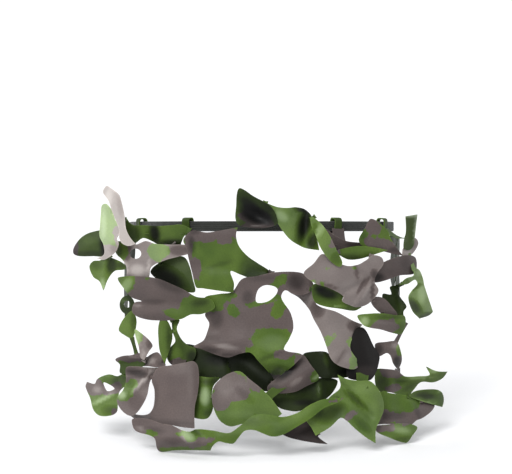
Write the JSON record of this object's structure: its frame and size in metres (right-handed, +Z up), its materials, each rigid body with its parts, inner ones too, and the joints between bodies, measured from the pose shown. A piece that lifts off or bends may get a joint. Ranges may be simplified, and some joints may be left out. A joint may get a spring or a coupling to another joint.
{
  "type": "camouflage face mask",
  "caption": "Leaf-cut camouflage cloth face mask: an elastic head band carries a ragged veil over nose, cheeks and chin that splays at its hem.",
  "frame": {"origin": "centre of the elastic head band's loop, which the wearer's head fills", "axes": "+Z up, the face looks along -Y, +X to the wearer's left"},
  "size_m": [0.2715, 0.2587, 0.1854],
  "materials": {
    "green_cloth": "matte coated synthetic cloth, printed woodland green with taupe patches",
    "taupe_cloth": "matte coated synthetic cloth, printed taupe with green patches",
    "dark_green_cloth": "matte coated synthetic cloth, dark green side",
    "elastic": "woven elastic webbing, matt black"
  },
  "bodies": {
    "harness": {"head_band": "elastic", "band_lap": "elastic", "band_loop_left_ear": "green_cloth", "band_loop_left_cheek": "green_cloth", "band_loop_right_cheek": "green_cloth", "band_loop_right_ear": "green_cloth", "left_ear_backing": "dark_green_cloth", "right_ear_backing": "dark_green_cloth"},
    "left_curtain": {"left_ear_petal": "taupe_cloth", "left_ear_lobe": "green_cloth", "left_wing_leaf": "green_cloth", "left_ear_drop": "green_cloth", "left_cheek_strip": "green_cloth", "left_cheek_trunk": "taupe_cloth", "left_cheek_under_leaf": "dark_green_cloth", "left_jaw_drop": "green_cloth", "left_jaw_ring": "dark_green_cloth", "left_hem_cup": "green_cloth", "left_hem_leaf": "green_cloth"},
    "right_curtain": {"right_ear_leaf": "dark_green_cloth", "right_ear_curl": "taupe_cloth", "right_hanging_leaf": "green_cloth", "right_jaw_leaf": "dark_green_cloth", "right_neck_curl": "taupe_cloth", "right_hem_upper_leaf": "green_cloth", "right_hem_curl": "green_cloth", "right_hem_mid_leaf": "taupe_cloth", "right_hem_low_leaf": "green_cloth"},
    "front_veil": {"nose_leaf": "dark_green_cloth", "right_nose_twist": "green_cloth", "right_cheek_tongue": "green_cloth", "left_nose_leaf": "green_cloth", "right_cheek_patch": "taupe_cloth", "right_cheek_spindle": "green_cloth", "right_ear_triangle": "green_cloth", "right_big_leaf": "taupe_cloth", "right_cheek_band": "taupe_cloth", "left_jaw_leaf": "taupe_cloth", "mouth_panel": "taupe_cloth", "chin_tongue": "taupe_cloth", "chin_green_leaf": "green_cloth", "right_chin_leaf": "green_cloth", "right_jaw_patch": "taupe_cloth", "right_chin_under_leaf": "dark_green_cloth", "left_jaw_twist": "taupe_cloth", "left_jaw_spindle": "green_cloth", "left_chin_strip": "green_cloth", "left_hem_strip": "taupe_cloth", "chin_under_band": "dark_green_cloth", "chin_under_leaf": "dark_green_cloth", "chin_roll": "taupe_cloth", "chin_right_under_leaf": "dark_green_cloth", "hem_under_leaf": "dark_green_cloth"},
    "front_hem": {"left_hem_petal": "taupe_cloth", "left_hem_panel": "taupe_cloth", "left_hem_curl": "green_cloth", "centre_hem_round": "green_cloth", "front_hem_ribbon": "green_cloth", "right_hem_star": "green_cloth", "centre_hem_under_leaf": "dark_green_cloth"}
  },
  "joints": [
    {"name": "veil_lift", "type": "hinge", "parent": "harness", "child": "front_veil", "pos_m": [0, -0.09, 0.0158], "axis": [-1, 0, 0], "range_deg": [0, 70]},
    {"name": "hem_lift", "type": "hinge", "parent": "front_veil", "child": "front_hem", "pos_m": [0, -0.108, -0.0783], "axis": [-1, 0, 0], "range_deg": [0, 35]},
    {"name": "left_curtain_lift", "type": "hinge", "parent": "harness", "child": "left_curtain", "pos_m": [-0.08, -0.056, 0.0098], "axis": [-0.64, 0.7684, 0], "range_deg": [0, 40]},
    {"name": "right_curtain_lift", "type": "hinge", "parent": "harness", "child": "right_curtain", "pos_m": [0.08, -0.056, 0.0098], "axis": [-0.64, -0.7684, 0], "range_deg": [0, 40]}
  ]
}
